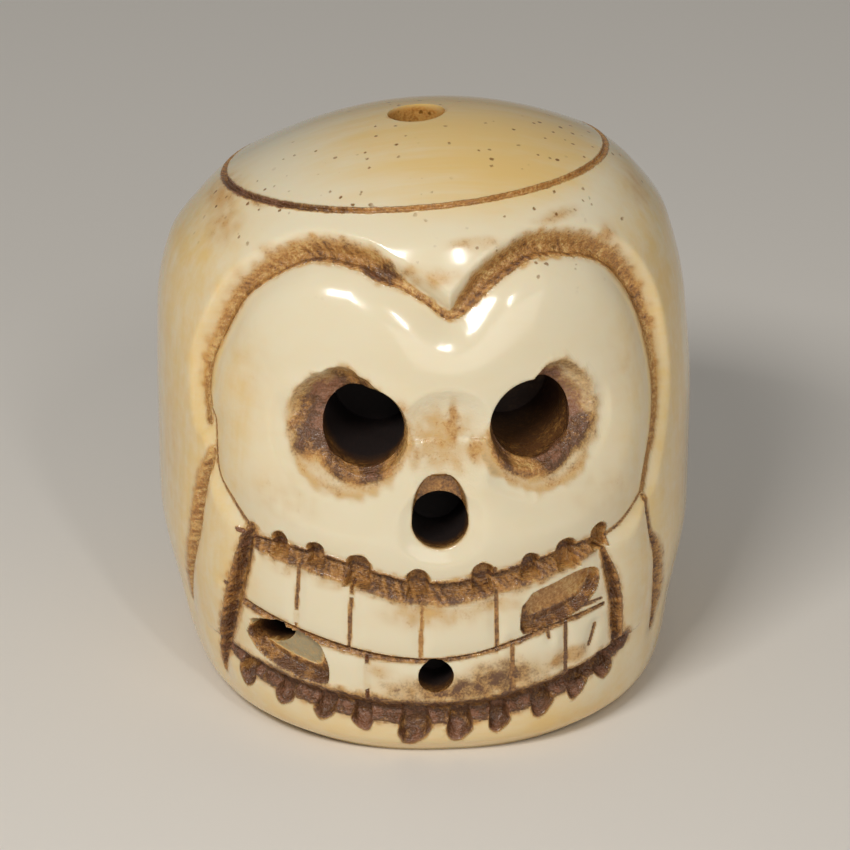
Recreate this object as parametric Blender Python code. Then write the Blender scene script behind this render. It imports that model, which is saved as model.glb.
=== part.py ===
"""A small skull carved from one piece of ivory and drilled from top to bottom for a cord.

Metres, +Z up. The skull stands on its flat underside at z = 0. Its face looks towards -Y,
and +X is to the viewer's right. A place on the skin is given as an angle round the upright
axis, in degrees from the middle of the face, and as a share of the height of the cap's rim.
"""
import math

import bmesh
import bpy
from mathutils import Matrix, Vector

MM = 0.001

# Size of the body
WIDTH = 32.2 * MM            # across the cheekbones
FRONT_REACH = 17.3 * MM      # upright axis to the teeth
BACK_REACH = 15.1 * MM       # upright axis to the back of the head
AXIS_Y = (FRONT_REACH - BACK_REACH) / 2   # the upright axis, with the origin midway
RIM_HEIGHT = 31.2 * MM       # underside to the middle of the cap's rim
CAP_RISE = 3.1 * MM          # rim to the top of the cap
CAP_SLOPE_BACK = 6.8         # degrees that the rim falls towards the back
CAP_SLOPE_SIDE = 3.8         # degrees that the rim rises towards +X
SLOPE_START = 0.66           # height share at which the rim's slope begins to show

# Outline of the body from the underside up. Each row gives the height, the half width, the
# front reach and the sideways shift of a level section, as shares of the body's own sizes.
SECTIONS = (
    (0.000, 0.770, 0.930, 0.014),
    (0.036, 0.886, 0.978, 0.010),
    (0.149, 0.936, 1.000, 0.000),
    (0.330, 0.998, 0.985, -0.002),
    (0.527, 1.000, 0.940, 0.000),
    (0.722, 0.983, 0.877, -0.009),
    (0.858, 0.927, 0.793, -0.020),
    (0.948, 0.812, 0.699, -0.027),
    (1.000, 0.714, 0.588, -0.032),
)
BASE_SQUARENESS = 2.36       # power of the rounded section at the underside
RIM_SQUARENESS = 2.0         # and at the rim, where 2 is a plain ellipse

# Fineness of the body's facets
SIDES = 72
LEVELS = (0.0, 0.012, 0.036, 0.085, 0.15, 0.24, 0.33, 0.43, 0.53, 0.63, 0.72, 0.79, 0.86,
          0.91, 0.95, 0.98, 1.0)
CAP_RINGS = (0.85, 0.65, 0.45, 0.25)

# Groove that parts the cap from the head
RIM_GROOVE_WIDTH = 0.5 * MM
RIM_GROOVE_DEPTH = 0.35 * MM

# Hole for the cord, and where it stands from the upright axis
BORE_RADIUS = 1.7 * MM
BORE_SHIFT_X = -0.45 * MM
BORE_SHIFT_Y = -0.3 * MM

# Eyes: a wide carved bowl round a drilled hole. The two holes lean towards each other.
EYE_DRILL_RADIUS = 2.4 * MM
EYE_DRILL_DEPTH = 7.0 * MM
EYE_LEAN = 10.0              # degrees inwards
EYE_LEVEL = 0.655
EYE_ANGLES = (-17.0, 20.9)
BOWL_RADIUS = 3.8 * MM
BOWL_DEPTH = 1.7 * MM
BOWL_LEVEL = 0.66
BOWL_ANGLES = (-20.5, 23.0)

# Nose: a drilled hole with a notch running up from it
NOSE_ANGLE = -0.5
NOSE_LEVEL = 0.488
NOSE_DRILL_RADIUS = 1.65 * MM
NOSE_DRILL_DEPTH = 6.0 * MM
NOSE_NOTCH_LEVEL = 0.54
NOSE_NOTCH_RADIUS = 1.35 * MM

# Rough groove round the heart-shaped face, from the left cheek over both brows to the right
HEART_WIDTH = 1.3 * MM
HEART_DEPTH = 0.55 * MM
HEART_PATH = (
    (-57, 0.614, 0.5), (-58, 0.671, 0.9), (-58, 0.722, 1.0), (-56, 0.775, 1.0),
    (-50, 0.878, 1.0), (-36, 0.946, 1.1), (-20, 0.939, 1.1), (-8, 0.895, 1.0),
    (4, 0.847, 0.8), (14, 0.894, 1.1), (31, 0.927, 1.1), (47, 0.897, 1.1),
    (56, 0.819, 1.0), (58, 0.721, 1.0), (58, 0.664, 0.9), (55, 0.611, 0.6), (52, 0.560, 0.4),
)

# Fine cut where the face meets the cheeks, on each side
CHEEK_LINE_WIDTH = 0.4 * MM
CHEEK_LINE_DEPTH = 0.3 * MM
CHEEK_LINES = (
    ((-56, 0.652, 0.6), (-54, 0.607, 1.0), (-52, 0.514, 1.0), (-47, 0.468, 1.2), (-41, 0.425, 1.6)),
    ((53, 0.575, 0.6), (50, 0.493, 1.0), (47, 0.451, 1.0), (42, 0.427, 1.0), (34.5, 0.404, 1.2)),
)

# Sunken gum between the face and the upper teeth
UPPER_GUM_WIDTH = 1.5 * MM
UPPER_GUM_DEPTH = 0.75 * MM
UPPER_GUM_PATH = (
    (-40, 0.408, 0.6), (-31, 0.402, 1.0), (-23, 0.392, 1.0), (-15, 0.374, 1.0),
    (-8, 0.356, 1.1), (-1, 0.348, 1.1), (6, 0.354, 1.1), (13, 0.368, 1.0), (20, 0.380, 1.0),
    (27, 0.391, 1.0), (35, 0.397, 0.7),
)

# Sunken gum between the lower teeth and the chin
LOWER_GUM_WIDTH = 1.7 * MM
LOWER_GUM_DEPTH = 0.8 * MM
LOWER_GUM_PATH = (
    (-50, 0.155, 0.6), (-39, 0.137, 1.0), (-29, 0.124, 1.0), (-19, 0.112, 1.1),
    (-9, 0.103, 1.1), (1, 0.101, 1.1), (11, 0.109, 1.1), (22, 0.127, 1.0), (33, 0.150, 0.9),
    (44, 0.172, 0.6),
)

# Notches that the carver cut from each gum into the edge beside it: angle and height share
NOTCH_MOUTH_RADIUS = 0.68 * MM
NOTCH_FLOOR_RADIUS = 0.48 * MM
NOTCH_DEPTH = 0.8 * MM
UPPER_NOTCHES = (
    (-34, 0.424), (-26, 0.418), (-17, 0.396), (-5, 0.376), (8, 0.383), (18, 0.394),
    (26, 0.404), (34, 0.416),
)
LOWER_NOTCHES = (
    (-43, 0.112), (-33, 0.104), (-24, 0.093), (-16.5, 0.079), (-6, 0.067), (3, 0.065),
    (11, 0.072), (20, 0.096), (28, 0.120), (35, 0.133),
)

# Line between the upper and the lower teeth
MOUTH_WIDTH = 0.45 * MM
MOUTH_DEPTH = 0.4 * MM
MOUTH_PATH = (
    (-43, 0.279, 0.8), (-34, 0.259, 1.0), (-26, 0.243, 1.0), (-18, 0.228, 1.0),
    (-10, 0.216, 1.0), (-2, 0.212, 1.0), (6, 0.220, 1.0), (14, 0.238, 1.0), (23, 0.259, 1.0),
    (34, 0.272, 0.8),
)

# Lines between neighbouring teeth: angle at the top and the bottom, with their height shares
TOOTH_LINE_WIDTH = 0.4 * MM
TOOTH_LINE_DEPTH = 0.32 * MM
TOOTH_LINES = (
    ((-29, 0.387), (-29, 0.250)), ((-18, 0.365), (-18, 0.229)), ((-4, 0.335), (-4, 0.213)),
    ((10.5, 0.350), (10.5, 0.230)), ((-15, 0.222), (-15, 0.120)), ((13, 0.236), (13, 0.125)),
    ((25, 0.264), (25, 0.145)), ((31, 0.221), (31, 0.190)),
)

# Two missing teeth: sunken windows, each an outline round its own middle
WINDOW_DEPTH = 0.9 * MM
UPPER_WINDOW = (
    (16, 0.310), (18, 0.333), (28, 0.358), (31.8, 0.346), (31.8, 0.320), (29, 0.282),
    (23, 0.266), (16, 0.255),
)
LOWER_WINDOW = (
    (-41, 0.214), (-40, 0.243), (-36, 0.254), (-30, 0.246), (-25, 0.232), (-23, 0.193),
    (-23, 0.155), (-27, 0.150), (-33, 0.163), (-38, 0.180),
)

# Small drilled holes in the lower teeth: angle, height share, radius and depth
TOOTH_HOLES = (
    (-1.5, 0.180, 1.05 * MM, 3.0 * MM),
    (-37.0, 0.228, 0.85 * MM, 3.0 * MM),
)

# Deep cuts beside the mouth and on the jaw's sides
CUT_WIDTH = 1.4 * MM
CUT_DEPTH = 0.9 * MM
JAW_CUTS = (
    ((-41, 0.425, 0.7), (-43, 0.337, 1.1), (-46, 0.240, 1.1), (-50, 0.150, 0.9), (-53, 0.075, 0.5)),
    ((34.3, 0.383, 0.4), (35, 0.361, 0.5), (36.3, 0.318, 0.75), (37.3, 0.275, 0.8),
     (37.8, 0.230, 0.85), (38.5, 0.185, 0.8)),
    ((-53, 0.540, 0.6), (-55, 0.491, 1.0), (-57, 0.433, 1.1), (-58, 0.373, 1.1),
     (-60, 0.312, 1.0), (-63, 0.243, 0.8), (-67, 0.176, 0.5)),
    ((47.5, 0.430, 0.3), (49, 0.365, 0.5), (51.3, 0.315, 0.8), (53, 0.250, 1.0),
     (54.3, 0.190, 1.0), (54.5, 0.145, 0.6)),
)

# Fineness and reach of the cutters
PATH_STEPS = 4               # points between two path points
HOLE_SIDES = 24
SMALL_HOLE_SIDES = 16
NOTCH_SIDES = 10
CLEARANCE = 1.0 * MM         # how far a drill or a window's cutter starts outside the skin


def clear_scene():
    """Remove every object that the start-up file holds."""
    for obj in list(bpy.data.objects):
        bpy.data.objects.remove(obj, do_unlink=True)


def new_collection(name):
    """A collection in the scene for the part or for its cutters."""
    collection = bpy.data.collections.new(name)
    bpy.context.scene.collection.children.link(collection)
    return collection


def through_points(knots, values, at):
    """Smooth value at a place, through the values at the knots, without overshoot."""
    last = len(knots) - 1
    slopes = [(values[i + 1] - values[i]) / (knots[i + 1] - knots[i]) for i in range(last)]
    i = max(0, min(last - 1, sum(knot <= at for knot in knots) - 1))

    def tangent(j):
        if j == 0 or j == last:
            return slopes[min(j, last - 1)]
        before, after = slopes[j - 1], slopes[j]
        return 2 * before * after / (before + after) if before * after > 0 else 0.0

    span = knots[i + 1] - knots[i]
    t = (at - knots[i]) / span
    return ((1 + 2 * t) * (1 - t) ** 2 * values[i] + t * (1 - t) ** 2 * span * tangent(i)
            + t * t * (3 - 2 * t) * values[i + 1] - t * t * (1 - t) * span * tangent(i + 1))


def section(share):
    """Half width, front reach, back reach, sideways shift and squareness at a height."""
    heights, halves, fronts, shifts = zip(*SECTIONS)
    half = through_points(heights, halves, share)
    squareness = BASE_SQUARENESS + (RIM_SQUARENESS - BASE_SQUARENESS) * share
    return (half * WIDTH / 2, through_points(heights, fronts, share) * FRONT_REACH,
            half * BACK_REACH, through_points(heights, shifts, share) * WIDTH / 2, squareness)


def slope_lift(x, y, share):
    """How far the cap's slope raises a point, growing from SLOPE_START up to the rim."""
    t = max(0.0, min(1.0, (share - SLOPE_START) / (1 - SLOPE_START)))
    full = x * math.tan(math.radians(CAP_SLOPE_SIDE)) - y * math.tan(math.radians(CAP_SLOPE_BACK))
    return t * t * (3 - 2 * t) * full


def body_point(angle, share, inward=1.0, rise=0.0):
    """Point of the smooth body, at `inward` of the way from the axis to the skin."""
    half, front, back, shift, power = section(share)
    s, c = math.sin(math.radians(angle)), math.cos(math.radians(angle))
    reach = front if c > 0 else back
    radius = (abs(s / half) ** power + abs(c / reach) ** power) ** (-1 / power) * inward
    x, y = shift + radius * s, -radius * c
    lift = rise + slope_lift(x, y, share)
    return Vector((x, AXIS_Y + y, share * RIM_HEIGHT + lift))


def skin(angle, share):
    """Point of the skin and the direction straight out of it."""
    point = body_point(angle, share)
    step = 0.002
    round_axis = body_point(angle + 0.5, share) - body_point(angle - 0.5, share)
    upwards = body_point(angle, min(1.0, share + step)) - body_point(angle, max(0.0, share - step))
    return point, round_axis.cross(upwards).normalized()


def body_rings():
    """Height share, share of the reach and rise of each ring of the body, from below."""
    rings = [(level, 1.0, 0.0) for level in LEVELS]
    rim = WIDTH / 2 * SECTIONS[-1][1]
    bottom = 1 - RIM_GROOVE_WIDTH / 2 / rim
    inner = 1 - RIM_GROOVE_WIDTH / rim
    rings.append((1.0, bottom, -RIM_GROOVE_DEPTH))
    rings += [(1.0, k * inner, CAP_RISE * (1 - (k * inner) ** 2)) for k in (1.0, *CAP_RINGS)]
    return rings


def make_body(collection):
    """The uncarved body: a sphere whose rings are drawn out to the sections."""
    rings = body_rings()
    bm = bmesh.new()
    bmesh.ops.create_uvsphere(bm, u_segments=SIDES, v_segments=len(rings) + 1, radius=1.0)
    for vert in bm.verts:
        latitude = math.asin(max(-1.0, min(1.0, vert.co.z))) + math.pi / 2
        ring = round(latitude / math.pi * (len(rings) + 1)) - 1
        if ring < 0:
            vert.co = body_point(0.0, 0.0, 0.0)
        elif ring == len(rings):
            vert.co = body_point(0.0, 1.0, 0.0, CAP_RISE)
        else:
            angle = math.degrees(math.atan2(vert.co.x, -vert.co.y))
            vert.co = body_point(angle, *rings[ring])
    return mesh_object("skull_carving", bm, collection)


def mesh_object(name, bm, collection):
    """Make an object of a bmesh, with its faces pointing out."""
    bmesh.ops.recalc_face_normals(bm, faces=bm.faces)
    mesh = bpy.data.meshes.new(name)
    bm.to_mesh(mesh)
    bm.free()
    obj = bpy.data.objects.new(name, mesh)
    collection.objects.link(obj)
    return obj


def cutter_from_curve(obj, collection):
    """Turn a curve object into a closed mesh cutter and remove the curve."""
    evaluated = obj.evaluated_get(bpy.context.evaluated_depsgraph_get())
    mesh = bpy.data.meshes.new_from_object(evaluated)
    bm = bmesh.new()
    bm.from_mesh(mesh)
    bmesh.ops.remove_doubles(bm, verts=bm.verts, dist=0.00001)
    cutter = mesh_object(obj.name + "_cutter", bm, collection)
    cutter.matrix_world = obj.matrix_world
    bpy.data.objects.remove(obj, do_unlink=True)
    return cutter


def smooth_path(points):
    """Points of a smooth line through a path's angles, height shares and sizes."""
    vectors = [Vector(point) for point in points]
    ends = [2 * vectors[0] - vectors[1]] + vectors + [2 * vectors[-1] - vectors[-2]]
    line = []
    for i in range(1, len(ends) - 2):
        before, start, end, after = ends[i - 1:i + 3]
        for step in range(PATH_STEPS):
            t = step / PATH_STEPS
            line.append(0.5 * (2 * start + (end - before) * t
                               + (2 * before - 5 * start + 4 * end - after) * t * t
                               + (3 * start - before - 3 * end + after) * t ** 3))
    line.append(vectors[-1])
    return line


def groove(name, path, width, depth, collection, resolution=2):
    """Cutter for a carved groove: a round bar along the skin, sunk to the groove's depth."""
    line = smooth_path(path)
    curve = bpy.data.curves.new(name, "CURVE")
    curve.dimensions = "3D"
    curve.bevel_depth = 1.0
    curve.bevel_resolution = resolution
    curve.use_fill_caps = True
    spline = curve.splines.new("POLY")
    spline.points.add(len(line) - 1)
    for point, (angle, share, size) in zip(spline.points, line):
        cut_width, cut_depth = width * size, depth * size
        radius = (cut_width ** 2 / 4 + cut_depth ** 2) / (2 * cut_depth)
        place, out = skin(angle, share)
        point.co = (*(place + out * (radius - cut_depth)), 1.0)
        point.radius = radius
    obj = bpy.data.objects.new(name, curve)
    collection.objects.link(obj)
    bpy.context.view_layer.update()
    return cutter_from_curve(obj, collection)


def drill(name, start, inwards, radius, depth, collection, end_radius=None, sides=HOLE_SIDES):
    """Cutter for a drilled hole: a cylinder from outside the skin to the hole's depth."""
    bm = bmesh.new()
    bmesh.ops.create_cone(bm, cap_ends=True, segments=sides, radius1=radius,
                          radius2=radius if end_radius is None else end_radius,
                          depth=depth + CLEARANCE)
    cutter = mesh_object(name, bm, collection)
    middle = start + inwards * (depth - CLEARANCE) / 2
    cutter.matrix_world = (Matrix.Translation(middle)
                           @ inwards.to_track_quat("Z", "Y").to_matrix().to_4x4())
    return cutter


def ball(name, angle, share, width_radius, depth, collection):
    """Cutter for a carved bowl: a ball that meets the skin in a circle of the given radius."""
    radius = (width_radius ** 2 + depth ** 2) / (2 * depth)
    place, out = skin(angle, share)
    bm = bmesh.new()
    bmesh.ops.create_uvsphere(bm, u_segments=HOLE_SIDES, v_segments=HOLE_SIDES // 2, radius=radius)
    cutter = mesh_object(name, bm, collection)
    cutter.matrix_world = (Matrix.Translation(place + out * (radius - depth))
                           @ out.to_track_quat("Z", "Y").to_matrix().to_4x4())
    return cutter


def window(name, outline, depth, collection):
    """Cutter for a sunken window: its flat outline, pushed straight into the skin."""
    middle = [sum(values) / len(outline) for values in zip(*outline)]
    place, out = skin(*middle)
    frame = Matrix.Translation(place) @ out.to_track_quat("Z", "Y").to_matrix().to_4x4()
    to_frame = frame.inverted()
    curve = bpy.data.curves.new(name, "CURVE")
    curve.dimensions = "2D"
    curve.fill_mode = "BOTH"
    curve.extrude = (depth + CLEARANCE) / 2
    spline = curve.splines.new("POLY")
    spline.points.add(len(outline) - 1)
    spline.use_cyclic_u = True
    for point, corner in zip(spline.points, outline):
        x, y, _ = to_frame @ body_point(*corner)
        point.co = (x, y, 0.0, 1.0)
    obj = bpy.data.objects.new(name, curve)
    collection.objects.link(obj)
    obj.matrix_world = frame @ Matrix.Translation((0, 0, (CLEARANCE - depth) / 2))
    bpy.context.view_layer.update()
    return cutter_from_curve(obj, collection)


def cut_bore(cutters):
    """Cord hole from the cap down through the underside."""
    top = Vector((BORE_SHIFT_X, AXIS_Y + BORE_SHIFT_Y, RIM_HEIGHT + CAP_RISE + CLEARANCE))
    drill("cord_bore", top, Vector((0, 0, -1)), BORE_RADIUS, top.z + CLEARANCE, cutters)


def cut_eyes(cutters):
    """Both eye sockets: the carved bowls and the drilled holes."""
    for side, angle, bowl_angle in zip((-1, 1), EYE_ANGLES, BOWL_ANGLES):
        ball(f"eye_bowl_{side}", bowl_angle, BOWL_LEVEL, BOWL_RADIUS, BOWL_DEPTH, cutters)
        lean = math.radians(EYE_LEAN) * side
        inwards = Vector((-math.sin(lean), math.cos(lean), 0))
        place, _ = skin(angle, EYE_LEVEL)
        drill(f"eye_hole_{side}", place, inwards, EYE_DRILL_RADIUS, EYE_DRILL_DEPTH, cutters)


def cut_nose(cutters):
    """Nose hole and the notch above it."""
    place, out = skin(NOSE_ANGLE, NOSE_LEVEL)
    drill("nose_hole", place, -out, NOSE_DRILL_RADIUS, NOSE_DRILL_DEPTH, cutters)
    ball("nose_notch", NOSE_ANGLE, NOSE_NOTCH_LEVEL, NOSE_NOTCH_RADIUS, NOSE_NOTCH_RADIUS, cutters)


def cut_grooves(cutters):
    """Heart-shaped groove round the face, cheek lines, jaw cuts, gums and mouth line."""
    groove("heart", HEART_PATH, HEART_WIDTH, HEART_DEPTH, cutters)
    for i, path in enumerate(CHEEK_LINES):
        groove(f"cheek_line_{i}", path, CHEEK_LINE_WIDTH, CHEEK_LINE_DEPTH, cutters, 1)
    for i, path in enumerate(JAW_CUTS):
        groove(f"jaw_cut_{i}", path, CUT_WIDTH, CUT_DEPTH, cutters)
    groove("upper_gum", UPPER_GUM_PATH, UPPER_GUM_WIDTH, UPPER_GUM_DEPTH, cutters)
    groove("lower_gum", LOWER_GUM_PATH, LOWER_GUM_WIDTH, LOWER_GUM_DEPTH, cutters)
    groove("mouth", MOUTH_PATH, MOUTH_WIDTH, MOUTH_DEPTH, cutters, 1)


def cut_teeth(cutters):
    """Lines between the teeth, the missing teeth, the tooth holes and the gums' notches."""
    for i, (top, bottom) in enumerate(TOOTH_LINES):
        path = [(*top, 1.0), (*bottom, 1.0)]
        groove(f"tooth_line_{i}", path, TOOTH_LINE_WIDTH, TOOTH_LINE_DEPTH, cutters, 1)
    window("upper_window", UPPER_WINDOW, WINDOW_DEPTH, cutters)
    window("lower_window", LOWER_WINDOW, WINDOW_DEPTH, cutters)
    for i, (angle, share, radius, depth) in enumerate(TOOTH_HOLES):
        place, out = skin(angle, share)
        drill(f"tooth_hole_{i}", place, -out, radius, depth, cutters, sides=SMALL_HOLE_SIDES)
    for i, (angle, share) in enumerate(UPPER_NOTCHES + LOWER_NOTCHES):
        place, out = skin(angle, share)
        drill(f"notch_{i}", place, -out, NOTCH_MOUTH_RADIUS, NOTCH_DEPTH, cutters,
              end_radius=NOTCH_FLOOR_RADIUS, sides=NOTCH_SIDES)


def ivory():
    """Polished cream ivory."""
    material = bpy.data.materials.new("ivory")
    material.use_nodes = True
    shader = material.node_tree.nodes["Principled BSDF"]
    shader.inputs["Base Color"].default_value = (0.80, 0.70, 0.50, 1.0)
    shader.inputs["Roughness"].default_value = 0.25
    shader.inputs["Metallic"].default_value = 0.0
    return material


def carve(body, cutters):
    """Take every cutter away from the body in one cut."""
    for cutter in cutters.objects:
        cutter.hide_render = True
        cutter.display_type = "WIRE"
    cut = body.modifiers.new("carving", "BOOLEAN")
    cut.operation = "DIFFERENCE"
    cut.operand_type = "COLLECTION"
    cut.collection = cutters
    cut.solver = "EXACT"


def main():
    """Build the skull."""
    clear_scene()
    parts = new_collection("ivory_skull_carving")
    cutters = new_collection("cutters")
    body = make_body(parts)
    cut_bore(cutters)
    cut_eyes(cutters)
    cut_nose(cutters)
    cut_grooves(cutters)
    cut_teeth(cutters)
    carve(body, cutters)
    body.data.materials.append(ivory())
    body.data.shade_smooth()
    body.data.set_sharp_from_angle(angle=math.radians(35))


main()
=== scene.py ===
"""Looks of the ivory skull carving: one finely carved, polished and stained piece on a pale floor.

The carving is worked out on the smooth skin of the body. Each cut says how deep it goes, how
much brown stain has gathered in it, how dark that stain is and how rough the tool left it. A
place on the skin is an angle round the upright axis, in degrees from the middle of the face,
and a share of the height of the cap's rim. Metres, +Z up, the face towards -Y.
"""
import math

import bpy
import numpy as np
from bpy.props import FloatProperty, FloatVectorProperty, PointerProperty
from mathutils import Matrix, Vector, kdtree, noise


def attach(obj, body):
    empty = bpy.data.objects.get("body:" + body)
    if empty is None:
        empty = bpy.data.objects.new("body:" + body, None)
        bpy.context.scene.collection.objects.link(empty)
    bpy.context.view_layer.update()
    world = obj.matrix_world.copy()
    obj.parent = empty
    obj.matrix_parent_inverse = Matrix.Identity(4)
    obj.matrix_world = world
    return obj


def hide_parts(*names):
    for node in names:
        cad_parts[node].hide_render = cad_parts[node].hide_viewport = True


bl_info = {
    "name": "Ivory skull carving",
    "version": (1, 0, 0),
    "blender": (4, 5, 0),
    "location": "View3D > Sidebar > Skull",
    "description": "A small polished ivory skull with stained carving",
    "category": "Add Mesh",
}

MM = 0.001
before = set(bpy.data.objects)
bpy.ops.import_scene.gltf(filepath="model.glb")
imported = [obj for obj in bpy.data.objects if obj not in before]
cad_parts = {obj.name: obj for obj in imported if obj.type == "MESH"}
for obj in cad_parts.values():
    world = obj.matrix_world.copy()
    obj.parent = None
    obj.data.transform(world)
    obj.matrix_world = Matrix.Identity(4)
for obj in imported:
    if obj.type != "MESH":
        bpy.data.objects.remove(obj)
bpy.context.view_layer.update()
NODE = "skull_carving"

# Outline of the body from the underside up: height, half width, front reach and sideways
# shift of a level section, as shares of the body's own sizes
SECTIONS = (
    (0.000, 0.770, 0.930, 0.014),
    (0.036, 0.886, 0.978, 0.010),
    (0.149, 0.936, 1.000, 0.000),
    (0.330, 0.998, 0.985, -0.002),
    (0.527, 1.000, 0.940, 0.000),
    (0.722, 0.983, 0.877, -0.009),
    (0.858, 0.927, 0.793, -0.020),
    (0.948, 0.812, 0.699, -0.027),
    (1.000, 0.714, 0.588, -0.032),
)
BASE_SQUARENESS = 2.36
RIM_SQUARENESS = 2.0
SLOPE_START = 0.66

# Where the mesh is fine: knots of angle or height share, and the spacing wanted there. Faces
# that the carving bends most are then split, once for each limit: the most that depth and
# stain may change over one face.
COLUMNS = 236
COLUMN_SPACING = ((-180, 3.4), (-95, 1.8), (-68, 1.0), (68, 1.0), (95, 1.8), (180, 3.4))
SIDE_RINGS = 112
RING_SPACING = ((0.0, 1.0), (0.80, 1.0), (0.88, 0.8), (0.97, 0.5), (1.0, 0.22))
GROOVE_RINGS = 8
CAP_RINGS = 20
SPLIT_LIMITS = ((0.070 * MM, 0.24), (0.13 * MM, 0.55))

# Rough groove round the heart-shaped face: angle, height share and size
HEART_PATH = (
    (-56, 0.600, 0.35), (-58, 0.671, 0.55), (-58, 0.722, 0.6), (-56, 0.775, 0.65),
    (-50, 0.878, 0.8), (-36, 0.946, 1.05), (-20, 0.939, 1.1), (-13, 0.915, 1.0),
    (-8, 0.896, 0.50), (-2, 0.870, 0.34), (4, 0.843, 0.40), (9, 0.867, 0.85),
    (14, 0.894, 1.05), (22, 0.917, 1.05), (31, 0.927, 1.1), (47, 0.897, 1.0),
    (56, 0.819, 0.8), (58, 0.721, 0.65), (57, 0.650, 0.55), (54, 0.580, 0.45),
    (50, 0.505, 0.35), (48, 0.460, 0.35),
)

# Fine cuts where the face meets the cheeks, left and right, from the top down
CHEEK_LINE_LEFT = (
    (-56, 0.652, 0.6), (-54, 0.607, 0.8), (-52, 0.514, 0.8), (-47, 0.468, 1.1), (-41, 0.425, 1.6),
)
CHEEK_LINE_RIGHT = (
    (48, 0.460, 0.9), (46, 0.446, 1.0), (42, 0.425, 1.1), (39, 0.414, 1.2), (35, 0.406, 1.3),
)

UPPER_GUM_PATH = (
    (-40, 0.408, 0.6), (-31, 0.402, 0.9), (-23, 0.392, 1.0), (-15, 0.374, 1.0),
    (-8, 0.356, 1.1), (-1, 0.348, 1.1), (6, 0.354, 1.1), (13, 0.368, 1.0), (20, 0.380, 1.0),
    (27, 0.393, 0.9), (34, 0.402, 0.6),
)
LOWER_GUM_PATH = (
    (-50, 0.155, 0.6), (-39, 0.137, 1.0), (-29, 0.124, 1.0), (-19, 0.112, 1.1),
    (-9, 0.103, 1.1), (1, 0.101, 1.1), (11, 0.109, 1.1), (22, 0.127, 1.0), (33, 0.150, 0.85),
    (41, 0.168, 0.75),
)
MOUTH_PATH = (
    (-43, 0.279, 1.3), (-34, 0.259, 1.5), (-26, 0.243, 1.4), (-18, 0.228, 1.2),
    (-10, 0.216, 1.0), (-2, 0.212, 0.8), (6, 0.220, 0.7), (14, 0.238, 0.8), (23, 0.259, 0.9),
    (34, 0.272, 0.6),
)

# Notches cut from each gum into the edge beside it: angle, height share and size
UPPER_NOTCHES = (
    (-34, 0.424, 0.9), (-26, 0.418, 0.9), (-17, 0.398, 1.2), (-5, 0.377, 1.1), (8, 0.384, 1.1),
    (18, 0.394, 0.95), (26, 0.405, 1.15), (34, 0.418, 1.0),
)
LOWER_NOTCHES = (
    (-43, 0.110, 1.1), (-33, 0.102, 1.1), (-24, 0.091, 1.1), (-16.5, 0.078, 1.0),
    (-6, 0.062, 1.5), (3, 0.062, 1.2), (11, 0.070, 1.0), (20, 0.094, 1.1), (28, 0.117, 1.2),
    (35, 0.133, 1.2),
)

# Lines between the teeth: top, bottom, depth share and how dark the stain is
TOOTH_LINES = (
    ((-29, 0.400), (-29.5, 0.262), 0.8, 0.35), ((-18, 0.365), (-18.5, 0.229), 1.0, 0.4),
    ((-4, 0.345), (-4.5, 0.213), 0.8, 0.1), ((10.5, 0.392), (10.5, 0.226), 1.0, 0.45),
    ((-15, 0.218), (-15, 0.120), 1.2, 0.7), ((13.6, 0.240), (13.6, 0.135), 0.8, 0.35),
    ((25, 0.258), (25, 0.140), 1.0, 0.6),
    ((32, 0.235), (30.5, 0.195), 0.8, 0.4), ((21, 0.248), (21.3, 0.236), 0.5, 0.5),
    ((25.5, 0.283), (33.5, 0.286), 0.5, 0.5), ((-44.5, 0.419), (-40.5, 0.414), 0.9, 0.9),
    ((-47.5, 0.296), (-44.5, 0.298), 0.8, 0.7),
)

# Two missing teeth
UPPER_WINDOW = (
    (16, 0.310), (18, 0.333), (28, 0.358), (32.5, 0.350), (32.5, 0.320), (29, 0.284),
    (23, 0.266), (16, 0.255),
)
LOWER_WINDOW = (
    (-41, 0.214), (-40, 0.243), (-36, 0.254), (-30, 0.246), (-25, 0.232), (-23, 0.193),
    (-23, 0.155), (-27, 0.150), (-33, 0.163), (-38, 0.180),
)

# Deep cuts on the jaw: path, which side is the steep one, how dark the stain is and how much
JAW_CUTS = (
    (((-41, 0.425, 0.7), (-43, 0.337, 1.0), (-46, 0.240, 1.05), (-50, 0.150, 0.9),
      (-53, 0.075, 0.3)), -1, 0.50, 1.0),
    (((34.3, 0.385, 0.3), (35, 0.361, 0.45), (36.3, 0.318, 0.75), (37.3, 0.275, 0.8),
      (37.8, 0.230, 0.85), (38.5, 0.180, 0.8)), 1, 0.45, 1.0),
    (((-54, 0.545, 0.3), (-55.5, 0.491, 0.7), (-57, 0.433, 0.9), (-58, 0.373, 0.9),
      (-60, 0.312, 0.8), (-63, 0.243, 0.6), (-67, 0.176, 0.3)), 1, 0.20, 1.0),
    (((48, 0.446, 0.2), (49.5, 0.365, 0.25), (51.5, 0.325, 0.7), (53, 0.250, 1.0),
      (54.3, 0.190, 1.0), (54.5, 0.140, 0.5)), -1, 0.75, 0.75),
)

# Skin eased down to a cut: its path, how far the ease reaches, how deep it gets, and whether
# it lies above the cut (1), below it (-1) or on both sides (0)
EASED_EDGES = (
    (UPPER_GUM_PATH, 2.7 * MM, 0.50 * MM, 1),
    (LOWER_GUM_PATH, 2.4 * MM, 0.45 * MM, -1),
    *((path, 1.9 * MM, 0.28 * MM, 0) for path, *_ in JAW_CUTS),
    (MOUTH_PATH, 1.2 * MM, 0.16 * MM, 0),
)

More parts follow.
